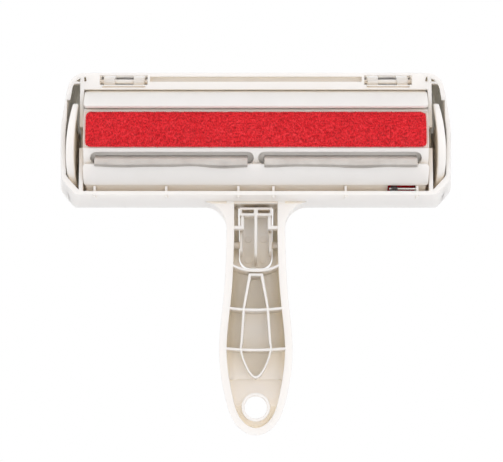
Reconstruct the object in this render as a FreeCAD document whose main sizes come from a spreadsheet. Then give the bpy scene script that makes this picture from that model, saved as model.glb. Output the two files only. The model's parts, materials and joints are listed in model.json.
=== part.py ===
"""Reusable lint roller: a T-shaped handle with a rocking fabric drum, a dirt bin and a rear lid.

Millimetres. X runs along the head, +Z runs from the handle to the head, and the working face looks
towards -Y. The origin is the middle of the hang hole in the handle.
"""
import FreeCAD, Part
import math
import os
import Sketcher

V = FreeCAD.Vector
X_AXIS = V(1, 0, 0)
Y_AXIS = V(0, 1, 0)

doc = FreeCAD.newDocument("LintRoller")

# ---------------------------------------------------------------- driving dimensions
SIZES = {
    # head moulding
    "head_half": 99.8,
    "head_top": 168.3,
    "head_bottom": 101.1,
    "flare": 2.6,
    "flare_depth": 18.0,
    "wall": 2.0,
    "barrel_y": 22.0,
    "barrel_z": 134.7,
    "barrel_radius": 33.6,
    # drum
    "drum_y": 22.0,
    "drum_z": 132.7,
    "drum_half": 85.5,
    "drum_radius": 28.4,
    "drum_shell": 2.2,
    "drum_span": 53.5,
    "rest_tilt": 23.5,
    "slot_half_width": 3.1,
    "slot_inner_x": 1.1,
    "slot_outer_x": 82.1,
    "strip_half": 84.8,
    "strip_from": 11.2,
    "strip_to": 49.1,
    "strip_radius": 29.2,
    "recess_depth": 0.9,
    "blade_inner_x": 4.2,
    "blade_outer_x": 79.8,
    "blade_tip": 31.2,
    "blade_thickness": 1.2,
    # rocking rims and axles
    "rim_radius": 28.6,
    "rim_band": 4.0,
    "rim_outer_x": 94.2,
    "rim_span": 60.0,
    "axle_radius": 4.0,
    "bearing_radius": 5.3,
    # lips of the window
    "lip_inner": 29.9,
    "lip_outer": 31.6,
    "lip_from": 27.8,
    "lip_to": 49.5,
    "lip_half": 85.6,
    # inner side walls
    "side_wall_x": 86.0,
    "side_wall": 2.0,
    # lid
    "lid_half": 79.6,
    "lid_gap": 0.4,
    "lid_thickness": 2.0,
    "lid_end_angle": 60.0,
    "lid_pin_y": 5.0,
    "lid_pin_z": 162.3,
    "lid_pin_radius": 1.1,
    "knuckle_radius": 2.3,
    # handle
    "rim_y_at_hole": 33.2,
    "handle_slope": 0.225,
    "hang_hole_y": 38.8,
    "hang_hole_radius": 5.8,
    "hang_ring_radius": 7.3,
    "rib": 1.2,
    # release button
    "button_half": 8.2,
    "button_pivot_y": 27.0,
    "button_pivot_z": 82.0,
    "button_pivot_radius": 1.8,
    # detent spring under the near lip
    "detent_pin_radius": 0.6,
    "detent_wire": 0.7,
    "detent_coil_radius": 1.15,
}

sheet = doc.addObject("Spreadsheet::Sheet", "Sizes")
for row, (alias, number) in enumerate(SIZES.items(), start=1):
    sheet.set(f"A{row}", alias)
    sheet.set(f"B{row}", str(number))
    sheet.setAlias(f"B{row}", alias)
doc.recompute()


def size(alias):
    """The sheet's value of one driving dimension."""
    return float(getattr(sheet, alias))


def bind(obj, **expressions):
    """Bind properties to sheet expressions; a double underscore stands for a dot."""
    for name, expression in expressions.items():
        obj.setExpression(name.replace("__", "."), expression.replace("$", "Sizes."))
    return obj


# ---------------------------------------------------------------- outlines
def polar(centre, radius, degrees):
    """A 2-D point on a circle; 0 degrees points to the front, 90 degrees up."""
    a = math.radians(degrees)
    return (centre[0] - radius * math.cos(a), centre[1] + radius * math.sin(a))


def point(p):
    return V(p[0], p[1], 0)


def rounded(points, radii):
    """Closed outline through 2-D points, each corner rounded by its own radius."""
    corners = []
    count = len(points)
    for i, here in enumerate(points):
        to_last = point(points[i - 1]) - point(here)
        to_next = point(points[(i + 1) % count]) - point(here)
        to_last.normalize()
        to_next.normalize()
        radius = radii[i] if isinstance(radii, (list, tuple)) else radii
        if radius <= 0:
            corners.append((point(here), None, point(here)))
            continue
        half = to_last.getAngle(to_next) / 2
        reach = radius / math.tan(half)
        bisector = to_last + to_next
        bisector.normalize()
        centre = point(here) + bisector * (radius / math.sin(half))
        middle = centre - bisector * radius
        corners.append((point(here) + to_last * reach, middle, point(here) + to_next * reach))
    edges = []
    for i, (start, middle, end) in enumerate(corners):
        if middle is not None:
            edges.append(Part.ArcOfCircle(start, middle, end))
        following = corners[(i + 1) % count][0]
        if (following - end).Length > 1e-6:
            edges.append(Part.LineSegment(end, following))
    return edges


def mirrored(points):
    """Points of the right half followed by their mirror images."""
    return points + [(-x, z) for x, z in reversed(points)]


def circle(centre, radius):
    return [Part.Circle(point(centre), V(0, 0, 1), radius)]


def sector(centre, inner, outer, start, end):
    """Ring sector between two angles, measured as polar() does."""
    def arc(radius, a, b):
        mid = (a + b) / 2
        return Part.ArcOfCircle(*(point(polar(centre, radius, d)) for d in (a, mid, b)))

    return [
        arc(outer, start, end),
        Part.LineSegment(point(polar(centre, outer, end)), point(polar(centre, inner, end))),
        arc(inner, end, start),
        Part.LineSegment(point(polar(centre, inner, start)), point(polar(centre, outer, start))),
    ]


def rectangle(x0, x1, z0, z1):
    return rounded([(x0, z0), (x1, z0), (x1, z1), (x0, z1)], 0)


# ---------------------------------------------------------------- solids
def plane_of(body, role):
    return next(f for f in body.Origin.OriginFeatures if f.Role == role)


def add_sketch(body, role, loops, offset):
    sketch = body.newObject("Sketcher::SketchObject", f"{body.Label}_outline")
    sketch.AttachmentSupport = [(plane_of(body, role), "")]
    sketch.MapMode = "FlatFace"
    sketch.AttachmentOffset = FreeCAD.Placement(V(0, 0, offset), FreeCAD.Rotation())
    for loop in loops:
        first = sketch.GeometryCount
        sketch.addGeometry(loop, False)
        join_ends(sketch, first, sketch.GeometryCount)
    return sketch


def join_ends(sketch, first, last):
    """Make each edge of a loop share a point with the next one."""
    if last - first < 2:
        return
    for i in range(first, last):
        after = first + (i + 1 - first) % (last - first)
        gap, end, start = min(
            ((sketch.getPoint(i, a) - sketch.getPoint(after, b)).Length, a, b)
            for a in (1, 2)
            for b in (1, 2)
        )
        if gap < 1e-4:
            sketch.addConstraint(Sketcher.Constraint("Coincident", i, end, after, start))


def add_pad(body, role, loops, start, length):
    """Pad an outline; on XZ it starts at Y=start and runs to +Y, on YZ it runs from X=start to +X."""
    backwards = role == "XZ_Plane"
    sketch = add_sketch(body, role, loops, -start if backwards else start)
    pad = body.newObject("PartDesign::Pad", f"{body.Label}_pad")
    pad.Profile = sketch
    pad.Reversed = backwards
    if isinstance(length, str):
        bind(pad, Length=length)
    else:
        pad.Length = length
    return pad


def front_pad(label, loops, start, length):
    """A body padded along +Y from a front-view outline of (x, z) points."""
    body = doc.addObject("PartDesign::Body", label)
    add_pad(body, "XZ_Plane", loops, start, length)
    return body


def side_pad(label, loops, start, length):
    """A body padded along +X from a side-view outline of (y, z) points."""
    body = doc.addObject("PartDesign::Body", label)
    add_pad(body, "YZ_Plane", loops, start, length)
    return body


def block(label, low, high):
    box = doc.addObject("Part::Box", label)
    box.Length, box.Width, box.Height = (b - a for a, b in zip(low, high))
    box.Placement.Base = V(*low)
    return box


def rod(label, centre, radius, length, axis=X_AXIS):
    """A cylinder that starts at centre and runs along axis; radius may be a sheet expression."""
    cylinder = doc.addObject("Part::Cylinder", label)
    if isinstance(radius, str):
        bind(cylinder, Radius=radius)
    else:
        cylinder.Radius = radius
    cylinder.Height = length
    turn = FreeCAD.Rotation(V(0, 0, 1), axis)
    seam_behind = FreeCAD.Rotation(V(0, 0, 1), 180)
    cylinder.Placement = FreeCAD.Placement(V(*centre), turn.multiply(seam_behind))
    return cylinder


def fuse(label, shapes):
    joined = doc.addObject("Part::MultiFuse", label)
    joined.Shapes = shapes
    joined.Refine = True
    return joined


def common(label, shapes):
    shared = doc.addObject("Part::MultiCommon", label)
    shared.Shapes = shapes
    return shared


def cut(label, base, tools):
    tool = tools[0] if len(tools) == 1 else fuse(f"{label}_tools", tools)
    difference = doc.addObject("Part::Cut", label)
    difference.Base = base
    difference.Tool = tool
    difference.Refine = True
    return difference


def mirror(label, source):
    """The same piece on the other side of the YZ plane."""
    other = doc.addObject("Part::Mirroring", label)
    other.Source = source
    other.Normal = X_AXIS
    return other


def both_sides(label, source):
    return [source, mirror(f"{label}_mirror", source)]


def fillet(label, base, radius, chosen):
    """Round the edges of base for which chosen(edge) is true."""
    doc.recompute()
    edges = [
        (i, radius, radius)
        for i, edge in enumerate(base.Shape.Edges, start=1)
        if chosen(edge)
    ]
    rounded_piece = doc.addObject("Part::Fillet", label)
    rounded_piece.Base = base
    rounded_piece.Edges = edges
    doc.recompute()
    return rounded_piece


BARREL = (size("barrel_y"), size("barrel_z"))
DRUM = (size("drum_y"), size("drum_z"))
SLOT_ANGLE = -size("rest_tilt")


# ---------------------------------------------------------------- frame: head
HALF = size("head_half")
TOP = size("head_top")
BOTTOM = size("head_bottom")
WALL = size("wall")
FLARE = size("flare")
DEPTH = 60.0          # longer than the head is deep
LID_HALF = size("lid_half")
SIDE_X = size("side_wall_x")
SIDE_T = size("side_wall")


def head_outline(inset):
    """Front view of the head: bowed sides, round top corners and chamfered bottom corners."""
    w, top, bottom = HALF - inset, TOP - inset, BOTTOM + inset
    corners = [(w - 4.2, top), (w, top - 27), (w - 0.8, bottom + 7.6), (w - 7.8, bottom)]
    right_radii = [10 - inset / 2, 60, 5, 5]
    return rounded(mirrored(corners), right_radii + right_radii[::-1])


def head_body(label, inset):
    """The head's envelope in front view: a flared front part and a straight part behind it."""
    body = doc.addObject("PartDesign::Body", label)
    mouth = add_sketch(body, "XZ_Plane", [head_outline(inset + FLARE)], 0)
    full = add_sketch(body, "XZ_Plane", [head_outline(inset)], -size("flare_depth"))
    flare = body.newObject("PartDesign::AdditiveLoft", f"{label}_flare")
    flare.Profile = mouth
    flare.Sections = [full]
    flare.Ruled = True
    add_pad(body, "XZ_Plane", [head_outline(inset)], size("flare_depth"), DEPTH)
    return body


def head_side(label, inset, start, length):
    """The head's envelope in side view: open to the front, a barrel at the back."""
    radius = size("barrel_radius") - inset
    y, z = BARREL
    outline = [
        Part.LineSegment(point((y, z - radius)), point((-1, z - radius))),
        Part.LineSegment(point((-1, z - radius)), point((-1, z + radius))),
        Part.LineSegment(point((-1, z + radius)), point((y, z + radius))),
        Part.ArcOfCircle(point((y, z + radius)), point((y + radius, z)), point((y, z - radius))),
    ]
    return side_pad(label, [outline], start, length)


def envelope(label, inset, half):
    return common(label, [
        head_body(f"{label}_front", inset),
        head_side(f"{label}_side", inset, -half, 2 * half),
    ])


def lid_opening(label, half):
    """The part of the barrel that the lid closes, as a wedge round the barrel's axis."""
    y, z = BARREL
    end = polar(BARREL, -60, size("lid_end_angle"))
    outline = [(12.2, z + 22), (12.2, TOP + 9), (85, TOP + 9), (85, end[1]), end, (y, z)]
    return side_pad(label, [rounded(outline, 0)], -half, 2 * half)


def head_shell():
    outer = envelope("head_outer", 0, HALF)
    inner = envelope("head_inner", WALL, HALF - WALL)
    return cut("head_shell", outer, [inner, lid_opening("lid_opening", LID_HALF + size("lid_gap"))])


WALL_INSET = 0.3          # the inner walls stop this far inside the head's outside


def side_walls():
    """Inner wall at one end, with the notch that holds a bearing, and the lid's seat beside it."""
    wall = common("side_wall_blank", [
        head_side("side_wall_plate", WALL - 0.2, SIDE_X, SIDE_T),
        head_body("side_wall_limit", WALL_INSET),
    ])
    y, z = DRUM
    r = size("bearing_radius")
    notch = side_pad("side_wall_notch", [[
        Part.LineSegment(point((-3, z - r)), point((y, z - r))),
        Part.ArcOfCircle(point((y, z - r)), point((y + r, z)), point((y, z + r))),
        Part.LineSegment(point((y, z + r)), point((-3, z + r))),
        Part.LineSegment(point((-3, z + r)), point((-3, z - r))),
    ]], SIDE_X - 1, SIDE_T + 2)
    front = block("side_wall_front", (SIDE_X - 1, -2, BOTTOM - 5), (SIDE_X + 6, 0, TOP + 5))
    seat_x = LID_HALF + size("lid_gap")
    seat = common("lid_seat", [
        head_side("lid_seat_plate", WALL - 0.2, seat_x, 1.6),
        block("lid_seat_back", (seat_x - 1, y + 1, BOTTOM - 5), (SIDE_X, 70, TOP + 5)),
    ])
    bore = rod("lid_seat_bore", (seat_x - 1, y, z), 30.2, 4)
    right = fuse("side_walls_right", [
        cut("side_wall", wall, [notch, front]),
        cut("lid_seat_ring", seat, [bore]),
    ])
    return both_sides("side_walls", right)


def top_rail():
    """Far rail of the window: an open channel between the hinge cheeks, and solid ends."""
    top = TOP - FLARE
    low, shelf, lip = 157.2, 161.2, 164.4
    rail = side_pad("rail_bar", [rectangle(0, 9, low, shelf)], -SIDE_X, 2 * SIDE_X)
    web = side_pad("rail_web", [rectangle(9, 11.5, low, TOP - 1.2)], -SIDE_X, 2 * SIDE_X)
    strip = side_pad("rail_strip", [rounded([(0, lip), (0, top), (9, top + 1.3), (9, lip)], 0)],
                     -SIDE_X, 2 * SIDE_X)
    floor = side_pad("rail_floor", [rectangle(2.6, 4.0, shelf - 0.4, lip + 0.4)], -53.5, 107)
    ends = block("rail_end", (78.2, 0, low), (84, 9, top + 0.3))
    cheek = block("rail_cheek", (53, 0, low), (54.3, 9, top + 0.3))
    solids = [rail, web, strip, floor] + both_sides("rail_end", ends) + both_sides("rail_cheek", cheek)
    return common("top_rail", [fuse("top_rail_solid", solids), head_body("top_rail_limit", 0)])


def hinge_pockets():
    """What is cut away round the lid's two hinges: arm space, front gap, groove and pin holes."""
    arms = block("hinge_pocket", (54.3, 1.1, 159.6), (78.2, 12.3, TOP + 3))
    gap = block("hinge_gap", (54.3, -1, 159.6), (78.2, 3, 164.4))
    groove = block("hinge_groove", (55.5, -1, 158.2), (77, 1.4, 159))
    pin = rod("hinge_pin_hole", (53.2, size("lid_pin_y"), size("lid_pin_z")), "$lid_pin_radius", 25.6)
    removed = []
    for piece in (arms, gap, groove, pin):
        removed += both_sides(piece.Label, piece)
    return removed


def corner_web():
    """Shallow web across a top corner, with its three-sided pocket."""
    plate = common("corner_plate", [
        head_body("corner_plate_outline", WALL - 0.3),
        block("corner_plate_block", (83.9, 0, 160.2), (HALF, 4, TOP)),
    ])
    pocket = front_pad("corner_pocket", [
        rounded([(84.8, 161.3), (92.6, 161.3), (91.0, 163.4), (85.6, 164.7)], [0.5, 1.0, 1.0, 0.5])
    ], -1, 4)
    return both_sides("corner_web", cut("corner_web", plate, [pocket]))


def bottom_ribs():
    """Short ribs that carry the near lip on the bottom wall."""
    ribs = []
    for i, x in enumerate((8.7, 44.6, 80.2)):
        rib = block(f"bottom_rib_{i}", (x - 0.6, 0.8, BOTTOM + 1.5), (x + 0.6, 12, 108.4))
        ribs += both_sides(f"bottom_rib_{i}", rib)
    return ribs


# ---------------------------------------------------------------- frame: handle
NECK_HALF = 14.8


def handle_rim_y(z):
    """Y of the handle's open edge at a height."""
    return size("rim_y_at_hole") - size("handle_slope") * z


def handle_outline(inset):
    """Front view of the handle: straight neck, wide belly and round tip."""
    half = [(14.8, 104), (14.8, 84), (16.5, 53), (18.6, 29), (15.3, 3.5), (8.8, -10.3)]
    tip = (0, -14.3)
    right = [point(p) for p in half]
    line = right + [point(tip)] + [V(-p.x, p.y, 0) for p in reversed(right)]
    curve = Part.BSplineCurve()
    curve.interpolate(line)
    if inset:
        moved = []
        for p in line:
            along = curve.tangent(curve.parameter(p))[0]
            moved.append(p + V(along.y, -along.x, 0) * inset)
        curve = Part.BSplineCurve()
        curve.interpolate(moved)
    start, end = curve.StartPoint, curve.EndPoint
    return [curve, Part.LineSegment(end, start)]


def handle_side(label, inset, half):
    """Side view of the handle: a sloping open edge and a full back."""
    i = inset
    outline = [
        (handle_rim_y(104), 104), (handle_rim_y(-20), -20), (44.0 - i, -20), (45.0 - i, 3),
        (45.2 - i, 26), (42.0 - i, 52), (38.0 - i, 76), (33.6 - i, 104),
    ]
    radii = [0, 0, 0, 60, 60, 100, 100, 0]
    return side_pad(label, [rounded(outline, radii)], -half, 2 * half)


def handle_solid(label, inset, back_inset, roundness):
    front = front_pad(f"{label}_front", [handle_outline(inset)], 4, 50)
    solid = common(label, [front, handle_side(f"{label}_side", back_inset, 40)])

    def is_back_edge(edge):
        box = edge.BoundBox
        middle = edge.valueAt((edge.FirstParameter + edge.LastParameter) / 2)
        return box.ZLength > 12 and middle.y > handle_rim_y(middle.z) + 4 and abs(middle.x) > 1

    return fillet(f"{label}_soft", solid, roundness, is_back_edge)


def neck_gusset():
    """The concave fillets that run from the neck out into the head's bottom wall."""
    half = [(27, 104), (25.0, 101.6), (18.6, 98.4), (15.4, 93.2), (NECK_HALF, 87)]
    right = Part.BSplineCurve()
    right.interpolate([point(p) for p in half[1:]])
    left = Part.BSplineCurve()
    left.interpolate([point((-x, z)) for x, z in half[1:]])
    corners = [(half[-1], (-half[-1][0], half[-1][1])), (half[0], half[1])]
    edges = [
        right,
        Part.LineSegment(*(point(p) for p in corners[0])),
        left,
        Part.LineSegment(point((-25.0, 101.6)), point((-27, 104))),
        Part.LineSegment(point((-27, 104)), point((27, 104))),
        Part.LineSegment(*(point(p) for p in corners[1])),
    ]
    plan = front_pad("neck_gusset_plan", [edges], 4, 40)
    depth = side_pad("neck_gusset_depth", [rounded([
        (handle_rim_y(87), 87), (28, 87), (28, 104), (12.4, 104), (10.4, 101),
    ], 0)], -30, 60)
    trough = block("neck_gusset_trough", (3.8 - NECK_HALF, 0, 80), (NECK_HALF - 3.8, 60, BOTTOM))
    return cut("neck_gusset", common("neck_gusset_solid", [plan, depth]), [trough])


def band(label, outer, inner, start, length):
    """A thin upright wall between two closed outlines."""
    return cut(label, front_pad(f"{label}_outer", [outer], start, length),
               [front_pad(f"{label}_inner", [inner], start - 1, length + 2)])


def cross_rib(label, z_side, z_middle, half):
    """A thin wall across the handle that dips in the middle."""
    t = size("rib")
    def dip(shift):
        ends = point((-half, z_side + shift)), point((half, z_side + shift))
        return ends[0], point((0, z_middle + shift)), ends[1]
    top, low = dip(t / 2), dip(-t / 2)
    return front_pad(label, [[
        Part.ArcOfCircle(*top),
        Part.LineSegment(top[2], low[2]),
        Part.ArcOfCircle(*low),
        Part.LineSegment(low[0], top[0]),
    ]], 6, 45)


def loop_outline(inset):
    """The closed oval rib: flat at the top, widest low down, with a pointed round end."""
    right = [(7.9, 31.5), (6.6, 49.8), (3.6, 66.6)]
    low = [(7.9, 31.5), (5.4, 20.5), (0, 14.4), (-5.4, 20.5), (-7.9, 31.5)]
    moved_low = [point((x * (1 - inset / 8), z + inset * (1 - abs(x) / 8))) for x, z in low]
    bottom = Part.BSplineCurve()
    bottom.interpolate(moved_low)
    side = [point((x - inset, z)) for x, z in right]
    side[0] = moved_low[0]
    side[2].y -= inset
    left = [V(-p.x, p.y, 0) for p in side]
    return [
        bottom,
        Part.LineSegment(left[0], left[1]),
        Part.LineSegment(left[1], left[2]),
        Part.LineSegment(left[2], side[2]),
        Part.LineSegment(side[2], side[1]),
        Part.LineSegment(side[1], side[0]),
    ]


def button_window():
    """The U-shaped opening in the neck's back, and the way through for the latch."""
    half = size("button_half") + 0.4
    outline = rounded([(-half, 99.5), (-half, 70.0), (half, 70.0), (half, 99.5)], [0, 6, 6, 0])
    return front_pad("button_window", [outline], 26, 40)


def handle():
    """Ribbed hollow handle, open towards the working face."""
    solid = handle_solid("handle_outer", 0, 0, 6.0)
    hollow = handle_solid("handle_hollow", 3.8, 2.2, 4.5)
    end_fill = block("handle_end_fill", (-20, 0, -20), (20, 60, 14.2))
    end_floor = side_pad("handle_end_hollow", [rounded([
        (28, 14.3), (handle_rim_y(-20), -20), (handle_rim_y(-20) + 3, -20), (37.2, 1), (42.6, 14.3),
    ], 0)], -20, 40)
    end_hollow = common("handle_end_pocket", [
        front_pad("handle_end_plan", [handle_outline(3.8)], 4, 50), end_floor,
    ])
    trough = cut("handle_trough", hollow, [end_fill])
    hole_y = handle_rim_y(0)
    ring = rod("hang_ring", (0, hole_y + 0.3, 0), "$hang_ring_radius", 14, Y_AXIS)
    ribs = common("handle_ribs", [
        handle_solid("handle_rib_limit", 1.0, 1.0, 4.5),
        fuse("handle_ribs_raw", [
            cross_rib("neck_rib", 71.4, 67.9, 13),
            cross_rib("upper_rib", 49.7, 48.6, 15),
            cross_rib("lower_rib", 29.7, 28.6, 18),
            band("loop_rib", loop_outline(0), loop_outline(size("rib")), 6, 45),
            ring,
        ]),
    ])
    shell = cut("handle_shell", solid, [trough, end_hollow])
    guides = []
    for x0, x1, z0, z1 in ((6.0, 7.6, 89.6, 95.2), (6.0, 11.2, 88.6, 90.2)):
        part = block(f"button_guide_{z0:.0f}", (x0, 13.5, z0), (x1, 19.5, z1))
        guides += both_sides(f"button_guide_{z0:.0f}", part)
    tail = (0, hole_y - 10, 0)
    hole = rod("hang_hole", tail, "$hang_hole_radius", 40, Y_AXIS)
    pivots = rod("button_pivot_holes", (-12.2, size("button_pivot_y"), size("button_pivot_z")),
                 "$button_pivot_radius + 0.05", 24.4)
    body = fuse("handle_with_ribs", [shell, ribs] + guides)
    return cut("handle", body, [hole, button_window(), pivots])


def make_frame():
    inside = common("head_void", [
        envelope("head_void_envelope", WALL, HALF - WALL),
        block("head_void_limit", (-HALF, -5, 60), (HALF, 80, 180)),
    ])
    neck = cut("neck", fuse("neck_raw", [handle(), neck_gusset()]), [inside])
    sweep = rod("drum_sweep", (-SIDE_X, *DRUM), 31.2, 2 * SIDE_X)
    near_window = cut("window_edges", fuse("window_edges_raw", [top_rail()] + bottom_ribs()), [sweep])
    walls = side_walls() + corner_web()
    raw = fuse("frame_raw", [head_shell(), near_window, neck] + walls)
    rim_x = SIDE_X + SIDE_T + 0.1
    rim_sweep = rod("rim_sweep", (rim_x, *DRUM), "$rim_radius + 0.4", 94.5 - rim_x)
    latch_way = block("latch_way", (-9, 30.5, 92), (9, 50, 107))
    return cut("frame", raw, hinge_pockets() + both_sides("rim_sweep", rim_sweep) + [latch_way])


# ---------------------------------------------------------------- fixed pieces on the frame
LIP_STEP = 0.6            # how much thinner the flange is than the bar
FLANGE_OVERLAP = 1.0      # the flange starts this far inside the bar, in degrees and in length
FLANGE_END = 59.0


def make_lip(label, side, flange_cuts):
    """Curved bar beside the window, with a thinner flange behind it.

    The side is 1 above the drum and -1 below it.
    """
    half = size("lip_half")
    inner, outer = size("lip_inner"), size("lip_outer")
    start, end = sorted([side * size("lip_from"), side * size("lip_to")], key=abs)
    bar = side_pad(f"{label}_bar", [sector(DRUM, inner, outer, start, end)], -half, 2 * half)
    flange = drum_sector(f"{label}_flange", inner, outer - LIP_STEP, end - side * FLANGE_OVERLAP,
                         side * FLANGE_END, half - FLANGE_OVERLAP)
    if flange_cuts:
        flange = cut(f"{label}_flange_cut", flange, flange_cuts)

    def is_corner(edge):
        box = edge.BoundBox
        return box.XLength < 0.01 and edge.Length < 2.4 and abs(box.Center.x) > half - 0.1

    return fuse(label, [fillet(f"{label}_soft", bar, 1.6, is_corner), flange])


def spring_room():
    """The space round the detent spring, which the near lip's flange stays out of."""
    return block("spring_room", (DETENT_X - 0.8, 0, 104), (DETENT_X + 13, 8, 110))


def make_bearing(label):
    """Bearing block that fills the bottom of the wall's notch, with the axle's bore."""
    y, z = DRUM
    r = size("bearing_radius")
    plate = side_pad(f"{label}_plate", [[
        Part.LineSegment(point((8, z - r)), point((y, z - r))),
        Part.ArcOfCircle(point((y, z - r)), point((y + r, z)), point((y, z + r))),
        Part.LineSegment(point((y, z + r)), point((8, z + r))),
        Part.LineSegment(point((8, z + r)), point((8, z - r))),
    ]], SIDE_X, SIDE_T)
    collar = rod(f"{label}_collar", (SIDE_X + SIDE_T, y, z), 6.6, 0.8)
    bore = rod(f"{label}_bore", (SIDE_X - 1, y, z), "$axle_radius + 0.05", SIDE_T + 4)
    return cut(label, fuse(f"{label}_solid", [plate, collar]), [bore])


def make_hinge_pin(label):
    return rod(label, (53.2, size("lid_pin_y"), size("lid_pin_z")), "$lid_pin_radius", 25.6)


DETENT_X = 66.4
DETENT_Y = 2.8
DETENT_Z = 107.25
DETENT_TURNS = 4


def make_detent_pin(label):
    return rod(label, (DETENT_X, DETENT_Y, DETENT_Z), "$detent_pin_radius", 79.6 - DETENT_X)


def make_detent_spring(label):
    """Torsion spring: a coil round its pin and two short legs."""
    wire = size("detent_wire")
    radius = size("detent_coil_radius")
    pitch = wire * 1.12
    coil = Part.makeHelix(pitch, pitch * DETENT_TURNS, radius)
    profile = Part.Wire(Part.Circle(V(radius, 0, 0), V(0, 1, 0), wire / 2).toShape())
    turns = Part.Wire(coil.Edges).makePipeShell([profile], True, True)
    far_leg = Part.makeCylinder(wire / 2, 4.5, V(radius, 0, pitch * DETENT_TURNS), V(0, 1, 0))
    near_leg = Part.makeCylinder(wire / 2, 2.2, V(radius, 0, 0), V(0, -1, 0))
    spring = doc.addObject("Part::Feature", label)
    spring.Shape = turns.fuse([far_leg, near_leg])
    stand = FreeCAD.Rotation(V(0, 0, -1), V(0, 1, 0), V(1, 0, 0), "ZXY")
    spring.Placement = FreeCAD.Placement(V(DETENT_X + 0.8, DETENT_Y, DETENT_Z), stand)
    return spring


# ---------------------------------------------------------------- rocking drum
def slot_outline(x0, x1, half):
    """Long slot with round ends, in a plane that faces the slot's own direction."""
    return [
        Part.LineSegment(V(x0 + half, half, 0), V(x1 - half, half, 0)),
        Part.ArcOfCircle(V(x1 - half, half, 0), V(x1, 0, 0), V(x1 - half, -half, 0)),
        Part.LineSegment(V(x1 - half, -half, 0), V(x0 + half, -half, 0)),
        Part.ArcOfCircle(V(x0 + half, -half, 0), V(x0, 0, 0), V(x0 + half, half, 0)),
    ]


def tilt(piece):
    """Turn a piece built for a forward-facing slot to the drum's rest position."""
    centre = V(0, *DRUM)
    turn = FreeCAD.Placement(V(0, 0, 0), FreeCAD.Rotation(X_AXIS, -SLOT_ANGLE), centre)
    piece.Placement = turn.multiply(piece.Placement)
    return piece


def drum_sector(label, inner, outer, start, end, half):
    return side_pad(label, [sector(DRUM, inner, outer, start, end)], -half, 2 * half)


def make_drum_shell(label):
    span = size("drum_span")
    outer = size("drum_radius")
    inner = outer - size("drum_shell")
    half = size("drum_half")
    y, z = DRUM
    shell = drum_sector("drum_wall", inner, outer, -span, span, half)
    plate_outline = [sector(DRUM, 6.5, inner + 0.5, -span, span)]
    plate = side_pad("drum_plate", plate_outline, half - 2.4, 2.4)
    hub = rod("drum_hub", (half - 7, y, z), 7.0, 7)
    bore = rod("drum_bore", (half - 8, y, z), "$axle_radius", 10)
    end = cut("drum_end", fuse("drum_end_solid", [plate, hub]), [bore])
    floor = outer - size("recess_depth")
    recess_half = size("strip_half") + 0.3
    recesses = [
        drum_sector("recess_far", floor, outer + 2, size("strip_from") - 0.6, size("strip_to") + 0.6,
                    recess_half),
        drum_sector("recess_near", floor, outer + 2, -size("strip_to") - 0.6,
                    -size("strip_from") + 0.6, recess_half),
    ]
    slot = front_pad("drum_slot", [slot_outline(size("slot_inner_x"), size("slot_outer_x"),
                                                size("slot_half_width"))], y - outer - 5, 12)
    slot.Placement.Base.z = z
    bridge = block("drum_bridge", (-0.9, y - inner - 0.6, z - 2.6), (0.9, y - 24.8, z + 2.6))
    solid = cut("drum_cut", fuse("drum_solid", [shell] + both_sides("drum_end", end)),
                recesses + both_sides("drum_slot", slot))
    return tilt(fuse(label, [solid, bridge]))


def make_velour(label, start, end):
    strip = drum_sector(f"{label}_sheet", DRUM_FLOOR, size("strip_radius"), start, end,
                        size("strip_half"))
    return tilt(fillet(label, strip, 1.2, lambda edge: edge.BoundBox.XLength < 0.01
                       and edge.Length < 2.5))


DRUM_FLOOR = size("drum_radius") - size("recess_depth")


def make_wiper(label):
    """Silicone blade on a thicker root."""
    y, z = DRUM
    x0, x1 = size("blade_inner_x"), size("blade_outer_x")
    t = size("blade_thickness")
    tip = y - size("blade_tip")
    blade = block(f"{label}_blade", (x0, tip, z - t / 2), (x1, y - 22.6, z + t / 2))
    root = block(f"{label}_root", (x0, y - 22.8, z - 1.6), (x1, y - 21.4, z + 1.6))
    return tilt(fuse(label, [blade, root]))


def make_wiper_clamp(label):
    """Channel bar behind the slots that grips both blade roots."""
    y, z = DRUM
    half = size("drum_half") - 2.4
    bar = block(f"{label}_bar", (-half, y - 24.8, z - 2.8), (half, y - 20.2, z + 2.8))
    x0, x1 = size("blade_inner_x"), size("blade_outer_x")
    t = size("blade_thickness")
    root = block(f"{label}_groove", (x0, y - 22.8, z - 1.6), (x1, y - 21.4, z + 1.6))
    slit = block(f"{label}_slit", (x0, y - 26, z - t / 2), (x1, y - 22.6, z + t / 2))
    grooves = both_sides(f"{label}_groove", root) + both_sides(f"{label}_slit", slit)
    return tilt(cut(label, bar, grooves))


def make_end_rim(label):
    """Rocking wheel sector: a lens-shaped tread on a thin web, outside the inner side wall."""
    y, z = DRUM
    radius = size("rim_radius")
    span = size("rim_span")
    outer_x = size("rim_outer_x")
    inner_x = outer_x - size("rim_band")
    tread = side_pad(f"{label}_tread", [sector(DRUM, radius - 4.5, radius, -span, span)],
                     inner_x - 4, 12)
    web = side_pad(f"{label}_web", [sector(DRUM, 5.5, radius - 3.5, -span, span)], inner_x, 1.6)
    hub = rod(f"{label}_hub", (inner_x - 0.1, y, z), 6.5, 3.4)
    dome_radius, hollow_radius = 110.0, 180.0
    front = (outer_x - dome_radius, y + 10, z)
    dome = rod(f"{label}_dome", front, dome_radius, 80, V(0, -1, 0))
    hollow = rod(f"{label}_hollow", (inner_x - hollow_radius, y + 10, z), hollow_radius, 80, V(0, -1, 0))
    lens = cut(f"{label}_lens", common(f"{label}_domed", [tread, dome]), [hollow])
    soft = fillet(f"{label}_lens_soft", lens, 0.9, lambda edge: edge.Length > 40)
    bore = rod(f"{label}_bore", (inner_x - 5, y, z), "$axle_radius", 12)
    wheel = fuse(f"{label}_wheel", [soft, web, hub])
    return tilt(cut(label, wheel, [bore]))


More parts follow.
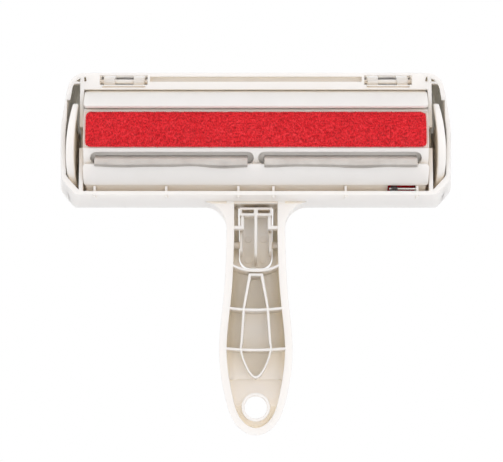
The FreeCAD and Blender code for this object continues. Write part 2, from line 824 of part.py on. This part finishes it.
def make_axle(label):
    """Stub axle from the drum's end plate through the bearing into the rim."""
    y, z = DRUM
    start = size("drum_half") - 6.5
    return rod(label, (start, y, z), "$axle_radius", 92.8 - start)


# ---------------------------------------------------------------- lid
def make_lid(label):
    """Rear cover: a curved panel with end ribs, two hinge knuckles on arms and a latch tongue."""
    y, z = BARREL
    half = size("lid_half")
    outer = size("barrel_radius")
    inner = outer - size("lid_thickness")
    last = 180 + size("lid_end_angle") - 0.5
    panel = side_pad("lid_panel", [[
        Part.LineSegment(point((12.6, z + inner)), point((12.6, z + outer))),
        Part.LineSegment(point((12.6, z + outer)), point((y, z + outer))),
        Part.ArcOfCircle(*(point(polar(BARREL, outer, a)) for a in (90, 165, last))),
        Part.LineSegment(point(polar(BARREL, outer, last)), point(polar(BARREL, inner, last))),
        Part.ArcOfCircle(*(point(polar(BARREL, inner, a)) for a in (last, 165, 90))),
        Part.LineSegment(point((y, z + inner)), point((12.6, z + inner))),
    ]], -half, 2 * half)
    pin = (size("lid_pin_y"), size("lid_pin_z"))
    hinge_parts = []
    for i, (x0, x1) in enumerate(((56.0, 61.5), (71.0, 76.5))):
        barrel = rod(f"lid_knuckle_{i}", (x0, *pin), "$knuckle_radius", x1 - x0)
        arm = side_pad(f"lid_arm_{i}", [rounded([
            (pin[0], pin[1] - 1.0), (pin[0] + 0.2, pin[1] + 2.2), (12.8, z + outer), (16, z + outer),
            (16, z + inner), (12.8, z + inner - 1.6),
        ], [0, 0, 2, 0, 0, 2])], x0, x1 - x0)
        hinge_parts += both_sides(f"lid_knuckle_{i}", barrel) + both_sides(f"lid_arm_{i}", arm)
    rib = side_pad("lid_rib", [sector(BARREL, inner - 1.2, inner + 0.2, 96, last - 2)], half - 1.4, 1.4)
    tongue_root = polar(BARREL, inner + 1, last - 4)
    tongue = side_pad("lid_tongue", [rounded([
        tongue_root, polar(BARREL, outer, last - 4), (36.2, 104.0), (33.4, 101.0), (31.4, 101.0),
        (31.4, 102.4), (34.0, 104.2),
    ], 0)], -7, 14)
    bore = rod("lid_bore", (53, *pin), "$lid_pin_radius + 0.05", 26)
    solid = fuse("lid_solid", [panel, tongue] + hinge_parts + both_sides("lid_rib", rib))
    return cut(label, solid, both_sides("lid_bore", bore))


# ---------------------------------------------------------------- release button
PLATE_TOP = 98.0          # the thumb plate ends just under the latch nose


def make_button(label):
    """Rocker: a thumb plate with four round ejector pads, a deep spine, pivots and a latch nose."""
    half = size("button_half")
    y, z = size("button_pivot_y"), size("button_pivot_z")
    plate_outline = rounded([(-half, PLATE_TOP), (-half, 71.4), (half, 71.4), (half, PLATE_TOP)],
                            [0, 5.6, 5.6, 0])
    plate = common("button_plate", [
        front_pad("button_plate_plan", [plate_outline], 20, 30),
        side_pad("button_plate_side", [rounded([
            (32.6, PLATE_TOP), (36.4, 70), (39.6, 70), (37.6, 78), (34.8, 88), (34.6, PLATE_TOP),
        ], [0, 0, 0, 6, 6, 0])], -20, 40),
    ])
    spine = side_pad("button_spine", [rounded([
        (34, 95), (12.4, 99), (12.4, 94), (16, 88), (22, 76), (33.5, 72.4), (37, 72.4),
    ], [0, 0, 2, 4, 3, 0, 0])], -0.75, 1.5)
    cheek = side_pad("button_cheek", [rounded([
        (34.5, 91.5), (23, 88), (22.5, 78.5), (27, 76.4), (36.3, 77.5),
    ], [0, 1, 2, 2, 0])], half - 1.5, 1.5)
    head = block("button_head", (-half, 12.4, 95.2), (half, 21.4, 99.3))
    pocket = block("button_pocket", (1.1, 10, 96.4), (half - 1.2, 20, 98.2))
    nose = side_pad("button_nose", [rounded([
        (21, 97.0), (21, 99.3), (32.6, 99.6), (33.5, 100.6), (35.2, 100.6), (35.6, 98.9), (30, 98.2),
    ], 0)], -6.5, 13)
    upper_pad = rod("button_upper_pad", (3.9, 33.95, 86.0), 1.7, 1.2, Y_AXIS)
    lower_pad = rod("button_lower_pad", (3.9, 35.45, 75.2), 1.7, 1.2, Y_AXIS)
    pivot = rod("button_pivot", (half - 1.0, y, z), "$button_pivot_radius", 4.6)
    solid = fuse("button_solid", [plate, spine, head, nose]
                 + both_sides("button_cheek", cheek) + both_sides("button_pivot", pivot)
                 + both_sides("button_upper_pad", upper_pad) + both_sides("button_lower_pad", lower_pad))
    return cut(label, solid, both_sides("button_pocket", pocket))


# ---------------------------------------------------------------- assembly and export
def make_pair(stem, source):
    """A right-hand piece and its mirror image."""
    return {f"{stem}_right": source, f"{stem}_left": mirror(f"{stem}_left", source)}


def make_all():
    pieces = {"frame": make_frame()}
    pieces["upper_lip"] = make_lip("upper_lip", 1, [])
    pieces["lower_lip"] = make_lip("lower_lip", -1, [spring_room()])
    pieces.update(make_pair("bearing", make_bearing("bearing_right")))
    pieces.update(make_pair("hinge_pin", make_hinge_pin("hinge_pin_right")))
    pieces["detent_pin"] = make_detent_pin("detent_pin")
    pieces["detent_spring"] = make_detent_spring("detent_spring")
    pieces["drum_shell"] = make_drum_shell("drum_shell")
    strip_start, strip_end = size("strip_from"), size("strip_to")
    pieces["velour_upper"] = make_velour("velour_upper", strip_start, strip_end)
    pieces["velour_lower"] = make_velour("velour_lower", -strip_end, -strip_start)
    pieces.update(make_pair("wiper", make_wiper("wiper_right")))
    pieces["wiper_clamp"] = make_wiper_clamp("wiper_clamp")
    pieces.update(make_pair("end_rim", make_end_rim("end_rim_right")))
    pieces.update(make_pair("axle", make_axle("axle_right")))
    pieces["lid"] = make_lid("lid")
    pieces["release_button"] = make_button("release_button")
    return pieces


def move_to_origin(pieces):
    """Bring the hang hole's middle to the origin; a mirrored piece follows its source."""
    shift = FreeCAD.Placement(V(0, -size("hang_hole_y"), 0), FreeCAD.Rotation())
    for piece in pieces.values():
        if piece.TypeId != "Part::Mirroring":
            piece.Placement = shift.multiply(piece.Placement)


def check_and_export(pieces):
    """Stop on any failed object; write one STEP file for each sub-part."""
    doc.recompute()
    failed = [o.Label for o in doc.Objects if {"Invalid", "Error"} & set(o.State)]
    if failed:
        raise RuntimeError(f"failed objects: {failed}")
    os.makedirs("parts", exist_ok=True)
    for label, piece in pieces.items():
        shape = piece.Shape
        if shape.isNull() or not shape.isValid():
            raise RuntimeError(f"{label} has no valid shape")
        shape.exportStep(f"parts/{label}.step")
        print(f"{label:16s} {len(shape.Solids)} solid(s) {shape.Volume:10.1f} mm3")


all_pieces = make_all()
doc.recompute()
move_to_origin(all_pieces)
check_and_export(all_pieces)
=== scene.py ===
"""Looks for the lint roller: finishes, pile strips, soft wipers, camera, lights and floor.

Lengths are in metres. Angles round the drum are 0 at the front, and positive towards the top.
"""
import json
import math

import bpy
import numpy as np
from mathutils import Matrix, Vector


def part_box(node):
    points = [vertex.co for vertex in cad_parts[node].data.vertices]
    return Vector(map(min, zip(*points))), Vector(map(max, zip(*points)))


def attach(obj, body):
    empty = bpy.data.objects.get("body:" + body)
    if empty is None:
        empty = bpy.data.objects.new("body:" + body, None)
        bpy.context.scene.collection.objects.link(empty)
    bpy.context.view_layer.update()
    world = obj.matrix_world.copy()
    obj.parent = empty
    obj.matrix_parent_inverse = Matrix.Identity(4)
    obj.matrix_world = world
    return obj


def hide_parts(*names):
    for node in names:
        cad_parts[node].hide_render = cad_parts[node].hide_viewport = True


MM = 0.001
SEED = 7


# ---------------------------------------------------------------- frame
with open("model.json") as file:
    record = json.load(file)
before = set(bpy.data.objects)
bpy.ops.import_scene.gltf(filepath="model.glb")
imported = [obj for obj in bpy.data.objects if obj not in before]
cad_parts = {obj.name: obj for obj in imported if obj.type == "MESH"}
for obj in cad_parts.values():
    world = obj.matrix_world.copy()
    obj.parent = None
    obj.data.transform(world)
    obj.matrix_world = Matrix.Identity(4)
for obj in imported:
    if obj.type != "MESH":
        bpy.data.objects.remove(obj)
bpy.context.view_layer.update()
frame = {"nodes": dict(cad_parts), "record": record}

axle_low, axle_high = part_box("axle_right")
AXIS_Y = (axle_low.y + axle_high.y) / 2
AXIS_Z = (axle_low.z + axle_high.z) / 2
SLOT_ANGLE = -23.5  # degrees, with the drum at rest


def round_drum(x, radius, degrees):
    """Points at a radius and an angle round the drum's axis, as an N by 3 array."""
    a = np.radians(degrees)
    x, radius, a = np.broadcast_arrays(x, radius, a)
    return np.stack([x, AXIS_Y - radius * np.cos(a), AXIS_Z + radius * np.sin(a)], axis=-1)


# ---------------------------------------------------------------- materials
class Nodes:
    """Short calls for building one material's node tree."""

    def __init__(self, name):
        self.material = bpy.data.materials.new(name)
        self.material.use_nodes = True
        self.tree = self.material.node_tree
        self.shader = self.tree.nodes["Principled BSDF"]
        self.where = self.add("ShaderNodeTexCoord").outputs["Object"]

    def add(self, kind, **inputs):
        node = self.tree.nodes.new(kind)
        for name, value in inputs.items():
            node.inputs[name.replace("_", " ")].default_value = value
        return node

    def link(self, source, target):
        self.tree.links.new(source, target)

    def noise(self, scale, detail=3.0, stretch=(1, 1, 1)):
        mapping = self.add("ShaderNodeMapping", Scale=stretch)
        self.link(self.where, mapping.inputs["Vector"])
        node = self.add("ShaderNodeTexNoise", Scale=scale, Detail=detail)
        self.link(mapping.outputs["Vector"], node.inputs["Vector"])
        return node.outputs["Fac"]

    def ramp(self, factor, stops):
        node = self.add("ShaderNodeValToRGB")
        elements = node.color_ramp.elements
        while len(elements) < len(stops):
            elements.new(0.5)
        for element, (position, colour) in zip(elements, stops):
            element.position = position
            element.color = (*colour, 1)
        self.link(factor, node.inputs["Fac"])
        return node.outputs["Color"]

    def mix(self, factor, at_zero, at_one):
        """A blend of the fixed colour at_zero and the linked colour at_one."""
        node = self.tree.nodes.new("ShaderNodeMixRGB")
        node.inputs["Color1"].default_value = (*at_zero, 1)
        self.link(factor, node.inputs["Fac"])
        self.link(at_one, node.inputs["Color2"])
        return node.outputs["Color"]

    def spread(self, factor, low, high):
        """The factor's middle range mapped to low..high."""
        node = self.add("ShaderNodeMapRange", From_Min=0.3, From_Max=0.7, To_Min=low, To_Max=high)
        self.link(factor, node.inputs["Value"])
        return node.outputs["Result"]

    def colour(self, source):
        self.link(source, self.shader.inputs["Base Color"])

    def roughness(self, source):
        self.link(source, self.shader.inputs["Roughness"])

    def bump(self, height, strength, distance, softened=0.0):
        node = self.add("ShaderNodeBump", Strength=strength, Distance=distance)
        self.link(height, node.inputs["Height"])
        if softened:
            bevel = self.tree.nodes.new("ShaderNodeBevel")
            bevel.samples = 6
            bevel.inputs["Radius"].default_value = softened
            self.link(bevel.outputs["Normal"], node.inputs["Normal"])
        self.link(node.outputs["Normal"], self.shader.inputs["Normal"])

    def set(self, **values):
        for name, value in values.items():
            self.shader.inputs[name.replace("_", " ")].default_value = value


# Painted shade: within this reach the ambient occlusion node finds hollows, and these stops turn it into
# the share of the painted hollow shade colour.
HOLLOW = 12 * MM
HOLLOW_SHADE_STOPS = [(0.05, (0.0, 0.0, 0.0)), (0.80, (1.0, 1.0, 1.0))]


def moulded_plastic(name, light, dark, painted_hollow_shade, rough, subsurface):
    """Satin moulding: cloudy tint, fine grain, rubbed patches and slightly rounded edges.

    Light scatters through the thin walls, and inside hollows a painted shade turns the colour warmer and
    mostly deeper.
    """
    n = Nodes(name)
    cloudy = n.ramp(n.noise(scale=38, detail=4), [(0.32, dark), (0.68, light)])
    # Painted shade: where the AO node finds a hollow, the colour is blended towards the third colour, a
    # painted warm shade and bounced light.
    openness = n.add("ShaderNodeAmbientOcclusion", Distance=HOLLOW)
    openness.samples = 6
    unshaded = n.ramp(openness.outputs["AO"], HOLLOW_SHADE_STOPS)
    n.colour(n.mix(unshaded, painted_hollow_shade, cloudy))
    n.roughness(n.spread(n.noise(scale=160, detail=5), rough - 0.06, rough + 0.09))
    n.bump(n.noise(scale=1500, detail=2), strength=0.12, distance=0.08 * MM, softened=0.6 * MM)
    n.set(Subsurface_Weight=subsurface, Subsurface_Radius=(1.0, 0.96, 0.92), Subsurface_Scale=0.007,
          Coat_Weight=0.08, Coat_Roughness=0.18, IOR=1.5)
    return n.material


VELOUR_REDS = [
    (0.34, (0.52, 0.004, 0.011)),
    (0.50, (0.86, 0.009, 0.022)),
    (0.66, (1.00, 0.050, 0.068)),
]


def velour():
    """Short directional nylon pile: fibre streaks over a slightly blotchy red."""
    n = Nodes("red_velour")
    fibres = n.noise(scale=1500, detail=3, stretch=(1, 0.7, 0.7))
    n.colour(n.ramp(fibres, VELOUR_REDS))
    n.roughness(n.spread(n.noise(scale=500), low=0.62, high=0.88))
    n.bump(n.noise(scale=2600, detail=2), strength=0.35, distance=0.1 * MM)
    n.set(Sheen_Weight=0.2, Sheen_Roughness=0.4, Sheen_Tint=(1.0, 0.45, 0.45, 1))
    return n.material


def silicone():
    """Soft grey silicone: faint mottling and a greasy, uneven gloss."""
    n = Nodes("grey_silicone")
    mottling = n.noise(scale=120, detail=4)
    n.colour(n.ramp(mottling, [(0.3, (0.52, 0.47, 0.44)), (0.7, (0.64, 0.59, 0.55))]))
    n.roughness(n.spread(n.noise(scale=300), low=0.28, high=0.46))
    n.bump(n.noise(scale=420, detail=3), strength=0.2, distance=0.2 * MM, softened=0.3 * MM)
    n.set(Subsurface_Weight=0.3, Subsurface_Radius=(1.0, 0.8, 0.7), Subsurface_Scale=0.002)
    return n.material


def steel(name, light, dark, rough):
    """Drawn metal: streaks along the wire and light tarnish."""
    n = Nodes(name)
    tarnish = n.noise(scale=260, detail=5, stretch=(0.15, 1, 1))
    streaks = n.noise(scale=700, detail=3, stretch=(0.1, 1, 1))
    scratches = n.noise(scale=1800, detail=2, stretch=(0.1, 1, 1))
    n.colour(n.ramp(tarnish, [(0.3, dark), (0.7, light)]))
    n.roughness(n.spread(streaks, rough - 0.07, rough + 0.10))
    n.bump(scratches, strength=0.15, distance=0.05 * MM)
    n.set(Metallic=1.0)
    return n.material


FINISHES = {
    # The third colour of each plastic is painted warm shade for its hollows, not a colour of the
    # moulding.
    "white_plastic": moulded_plastic(
        "white_plastic", light=(0.870, 0.835, 0.812), dark=(0.850, 0.812, 0.785),
        painted_hollow_shade=(1.0, 0.880, 0.735), rough=0.36, subsurface=0.5),
    "cream_plastic": moulded_plastic(
        "cream_plastic", light=(0.84, 0.76, 0.64), dark=(0.80, 0.71, 0.58),
        painted_hollow_shade=(0.82, 0.70, 0.54), rough=0.45, subsurface=0.40),
    "grey_plastic": moulded_plastic(
        "grey_plastic", light=(0.80, 0.785, 0.775), dark=(0.74, 0.725, 0.715),
        painted_hollow_shade=(0.80, 0.78, 0.76), rough=0.48, subsurface=0.20),
    "red_velour": velour(),
    "grey_silicone": silicone(),
    "steel": steel("steel", light=(0.72, 0.70, 0.69), dark=(0.52, 0.50, 0.49), rough=0.26),
    # The spring's near-black colour is painted shade: it stands in for the shadow round the coil and is
    # darker than bare steel.
    "spring_steel": steel("spring_steel", light=(0.19, 0.17, 0.16), dark=(0.08, 0.07, 0.07), rough=0.34),
}

for part in frame["record"]["subparts"]:
    materials = frame["nodes"][part["node"]].data.materials
    materials.clear()
    materials.append(FINISHES[part["material_slot"]])


# ---------------------------------------------------------------- new pieces
def make_piece(name, points, faces, body, node, slot):
    """A mesh that moves with a body, stands for a CAD node and takes its finish from a slot."""
    mesh = bpy.data.meshes.new(name)
    mesh.from_pydata([tuple(p) for p in points], [], [tuple(f) for f in faces])
    mesh.validate()
    mesh.materials.append(FINISHES[slot])
    mesh.shade_smooth()
    piece = bpy.data.objects.new(name, mesh)
    bpy.context.scene.collection.objects.link(piece)
    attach(piece, body)
    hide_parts(node)
    return piece


def closed_slab(outer, inner):
    """Points and faces of a closed slab between two grids of the same shape (rows, columns, 3)."""
    rows, columns = outer.shape[:2]
    index = np.arange(rows * columns).reshape(rows, columns)
    under = index + rows * columns
    faces = []
    for r in range(rows - 1):
        for c in range(columns - 1):
            faces.append((index[r, c], index[r + 1, c], index[r + 1, c + 1], index[r, c + 1]))
            faces.append((under[r, c], under[r, c + 1], under[r + 1, c + 1], under[r + 1, c]))
    rim = [(r, 0) for r in range(rows)]
    rim += [(rows - 1, c) for c in range(1, columns)]
    rim += [(r, columns - 1) for r in range(rows - 2, -1, -1)]
    rim += [(0, c) for c in range(columns - 2, 0, -1)]
    for (r0, c0), (r1, c1) in zip(rim, rim[1:] + rim[:1]):
        faces.append((index[r0, c0], under[r0, c0], under[r1, c1], index[r1, c1]))
    points = np.concatenate([outer.reshape(-1, 3), inner.reshape(-1, 3)])
    return points, faces


# The strips lie on the drum, from PILE_NEAR to PILE_FAR degrees off the slots on each side.
PILE_BACK = 27.5 * MM
PILE_FOOT = 28.5 * MM
PILE_TIP = 29.35 * MM
PILE_END = 84.4 * MM
PILE_NEAR, PILE_FAR = 11.6, 48.7
PILE_WIDTH = math.radians(PILE_FAR - PILE_NEAR) * PILE_FOOT
PILE_CORNER = 2.2 * MM
BACKING_STEPS_X, BACKING_STEPS_ACROSS = 170, 24
RIPPLE = 0.10 * MM
RIPPLE_PACE_X, RIPPLE_PACE_ROUND = 900, 90

TUFT_COUNT = 42000
TUFT_FACES = ((0, 2, 1), (0, 1, 3), (1, 2, 3), (2, 0, 3))
TUFT_HALF_WIDTHS_MM = (0.11, 0.19)
TUFT_SUNK = 0.15 * MM
CLUMP_X, CLUMP_ACROSS = 1.05 * MM, 0.92 * MM
CLUMP_PULL = 0.45  # share of the way to its clump's middle that a tuft leans
CLUMP_CROWN = 0.75 * MM  # drop in height per clump's pitch from its middle
ROW_SLANT = 0.16 * MM  # lean along the drum, whose sign changes from row to row
NAP_LEAN = 0.14 * MM  # lean of the whole pile towards the slots
SCATTER_X, SCATTER_ACROSS, SCATTER_HEIGHT = 0.07 * MM, 0.09 * MM, 0.07 * MM
STRAY_SHARE, STRAY_LEAN = 0.03, 2.6
EDGE_WANDER = 0.25 * MM
EDGE_PACE_LONG, EDGE_PACE_SHORT = 700, 1900


def inside_strip(x, across):
    """True where a point is on the strip, whose corners are rounded."""
    side = np.clip(PILE_CORNER - np.minimum(across, PILE_WIDTH - across), 0, None)
    end = np.clip(PILE_CORNER - (PILE_END - np.abs(x)), 0, None)
    return np.hypot(side, end) < PILE_CORNER


def pile_backing(side, near, far):
    """Points and faces of a strip's closed backing, rippled and with rounded corners."""
    shares = np.linspace(-1, 1, BACKING_STEPS_X)
    angles = np.linspace(near, far, BACKING_STEPS_ACROSS)
    share, grid_a = np.meshgrid(shares, angles, indexing="ij")
    from_side = np.minimum(np.abs(grid_a - near), np.abs(grid_a - far)) * PILE_WIDTH / abs(far - near)
    into_corner = np.clip(PILE_CORNER - from_side, 0, None)
    cut_back = PILE_CORNER - np.sqrt(PILE_CORNER ** 2 - into_corner ** 2)
    grid_x = share * (PILE_END - cut_back)
    ripple = RIPPLE * np.sin(grid_x * RIPPLE_PACE_X) * np.sin(np.radians(grid_a) * RIPPLE_PACE_ROUND)
    outer = round_drum(grid_x, PILE_FOOT + ripple, grid_a)
    inner = round_drum(grid_x, PILE_BACK, grid_a)
    if side < 0:
        outer, inner = outer[:, ::-1], inner[:, ::-1]
    return closed_slab(outer, inner)


def pile_tufts(side, near, rng):
    """Points of the tufts in staggered clumps: four to a tuft, three at its foot and then its tip."""
    x = rng.uniform(-PILE_END, PILE_END, TUFT_COUNT)
    across = rng.uniform(0, PILE_WIDTH, TUFT_COUNT)
    edge_wander = EDGE_WANDER * np.sin(x * EDGE_PACE_LONG) * np.sin(x * EDGE_PACE_SHORT + 1)
    keep = inside_strip(x, across + edge_wander)
    x, across = x[keep], across[keep]
    count = len(x)
    angle = near + side * np.degrees(across / PILE_FOOT)

    row = np.round(across / CLUMP_ACROSS)
    column = np.round(x / CLUMP_X - 0.5 * (row % 2))
    to_middle_x = (column + 0.5 * (row % 2)) * CLUMP_X - x
    to_middle_across = row * CLUMP_ACROSS - across
    off_middle = np.hypot(to_middle_x / CLUMP_X, to_middle_across / CLUMP_ACROSS)

    slant = np.where(row % 2 < 1, 1, -1) * ROW_SLANT
    lean_x = CLUMP_PULL * to_middle_x + slant + rng.normal(0, SCATTER_X, count)
    lean_across = NAP_LEAN - CLUMP_PULL * to_middle_across + rng.normal(0, SCATTER_ACROSS, count)
    lean_angle = np.degrees(lean_across / PILE_FOOT)
    height = PILE_TIP + rng.normal(0, SCATTER_HEIGHT, count) - CLUMP_CROWN * off_middle
    stray = rng.random(count) < STRAY_SHARE
    lean_angle = side * np.where(stray, lean_angle * STRAY_LEAN, lean_angle)
    tips = round_drum(x + lean_x, height, angle - lean_angle)

    half = rng.uniform(*TUFT_HALF_WIDTHS_MM, count) * MM
    turn = rng.uniform(0, 120, count)
    feet = []
    for corner in (0, 120, 240):
        round_foot = np.radians(turn + corner)
        foot_x = x + half * np.cos(round_foot)
        foot_angle = angle + np.degrees(half * np.sin(round_foot) / PILE_FOOT)
        feet.append(round_drum(foot_x, PILE_FOOT - TUFT_SUNK, foot_angle))
    return np.stack([*feet, tips], axis=1).reshape(-1, 3)


def pile_strip(name, side, node, seed):
    """A pile strip in place of a CAD strip; side is +1 above the slots and -1 below."""
    near, far = SLOT_ANGLE + side * PILE_NEAR, SLOT_ANGLE + side * PILE_FAR
    points, faces = pile_backing(side, near, far)
    tufts = pile_tufts(side, near, np.random.default_rng(seed))
    first = len(points) + np.arange(0, len(tufts), 4)
    for a, b, c in TUFT_FACES:
        faces.extend(zip(first + a, first + b, first + c))
    return make_piece(name, np.concatenate([points, tufts]), faces, "drum", node, "red_velour")


pile_strip("pile_upper", 1, "velour_upper", SEED)
pile_strip("pile_lower", -1, "velour_lower", SEED + 1)


WIPER_ROOT = 22.6 * MM
WIPER_TIP = 32.1 * MM
WIPER_HALF = 0.5 * MM
WIPER_COLUMNS = 150
WIPER_ROWS = 16
WIPER_THINNING = 0.45
WIPER_REACH = 1.06  # above 1, so that the blade's height is reached before its edge
CURL_START, CURL_LENGTH, CURL_POWER = 0.72, 0.28, 1.6

# How far the curled edge turns down, in degrees, and its unevenness.
WIPER_BEND = 5.6
LONG_WAVE, LONG_PACE, WAVE_SHIFT = 0.5, 95, 300
SHORT_WAVE, SHORT_PACE = 0.25, 260
DIP, DIP_WIDTH = 1.6, 11 * MM


def wiper_flap(name, start, end, dip_at, node):
    """A soft blade that leaves its slot straight and curls over towards the lower lip, unevenly."""
    xs = np.linspace(start, end, WIPER_COLUMNS)
    along = np.linspace(0, 1, WIPER_ROWS)
    grid_x, grid_t = np.meshgrid(xs, along, indexing="ij")
    wave = LONG_WAVE * np.sin(grid_x * LONG_PACE + dip_at * WAVE_SHIFT)
    wave = wave + SHORT_WAVE * np.sin(grid_x * SHORT_PACE)
    dip = DIP * np.exp(-((grid_x - dip_at) / DIP_WIDTH) ** 2)
    curl = np.clip((grid_t - CURL_START) / CURL_LENGTH, 0, 1) ** CURL_POWER
    angle = SLOT_ANGLE - curl * (WIPER_BEND + wave + dip)
    radius = WIPER_ROOT + (WIPER_TIP - WIPER_ROOT) * np.clip(grid_t * WIPER_REACH, 0, 1)
    thick = WIPER_HALF * (1 - WIPER_THINNING * grid_t)
    spread = np.degrees(thick / radius)
    outer = round_drum(grid_x, radius, angle + spread)
    inner = round_drum(grid_x, radius, angle - spread)
    points, faces = closed_slab(outer, inner)
    return make_piece(name, points, faces, "drum", node, "grey_silicone")


for label, dip_at in (("wiper_left", -17 * MM), ("wiper_right", 46 * MM)):
    low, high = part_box(label)
    wiper_flap(label + "_flap", low.x, high.x, dip_at, label)


# ---------------------------------------------------------------- camera, lights, floor
def look_at(thing, place, target):
    """Puts a camera or light at a place, turned towards a target."""
    thing.location = place
    thing.rotation_euler = (Vector(target) - Vector(place)).to_track_quat("-Z", "Y").to_euler()


LIGHT_TARGET = (0, 0, 0.10)


def add_light(name, place, size, power, tint):
    """A rectangular area light that faces the object."""
    data = bpy.data.lights.new(name, "AREA")
    data.shape = "RECTANGLE"
    data.size, data.size_y = size
    data.energy = power
    data.color = tint
    light = bpy.data.objects.new(name, data)
    bpy.context.scene.collection.objects.link(light)
    look_at(light, place, LIGHT_TARGET)


CAMERA_PLACE = (-0.0022, -0.8112, -0.0230)
CAMERA_TARGET = (-0.0022, -0.0388, 0.0856)
CAMERA_LENS = 112.9
data = bpy.data.cameras.new("camera")
data.lens = CAMERA_LENS
camera = bpy.data.objects.new("camera", data)
bpy.context.scene.collection.objects.link(camera)
look_at(camera, CAMERA_PLACE, CAMERA_TARGET)
bpy.context.scene.camera = camera

add_light("key", place=(-0.5, -0.9, 1.0), size=(0.9, 0.9), power=1.2, tint=(1.0, 0.985, 0.96))
add_light("fill", place=(0.5, -1.3, 0.05), size=(0.7, 0.7), power=2.1, tint=(1.0, 0.985, 0.965))
add_light("rear", place=(0.1, 0.9, 0.9), size=(1.2, 0.8), power=0.15, tint=(1.0, 1.0, 1.0))

world = bpy.data.worlds.new("studio")
world.use_nodes = True
world.node_tree.nodes["Background"].inputs["Color"].default_value = (1, 1, 1, 1)
world.node_tree.nodes["Background"].inputs["Strength"].default_value = 1.0
bpy.context.scene.world = world
bpy.context.scene.view_settings.view_transform = "Standard"

FLOOR_DROP = 0.32
FLOOR_SIZE = 60
bpy.ops.mesh.primitive_plane_add(size=FLOOR_SIZE, location=(0, 0, -FLOOR_DROP))
floor = bpy.context.object
floor.name = "floor"
paper = Nodes("floor_paper")
paper.colour(paper.ramp(paper.noise(scale=3), [(0.3, (0.90, 0.90, 0.90)), (0.7, (0.93, 0.93, 0.93))]))
paper.set(Roughness=0.9)
floor.data.materials.append(paper.material)
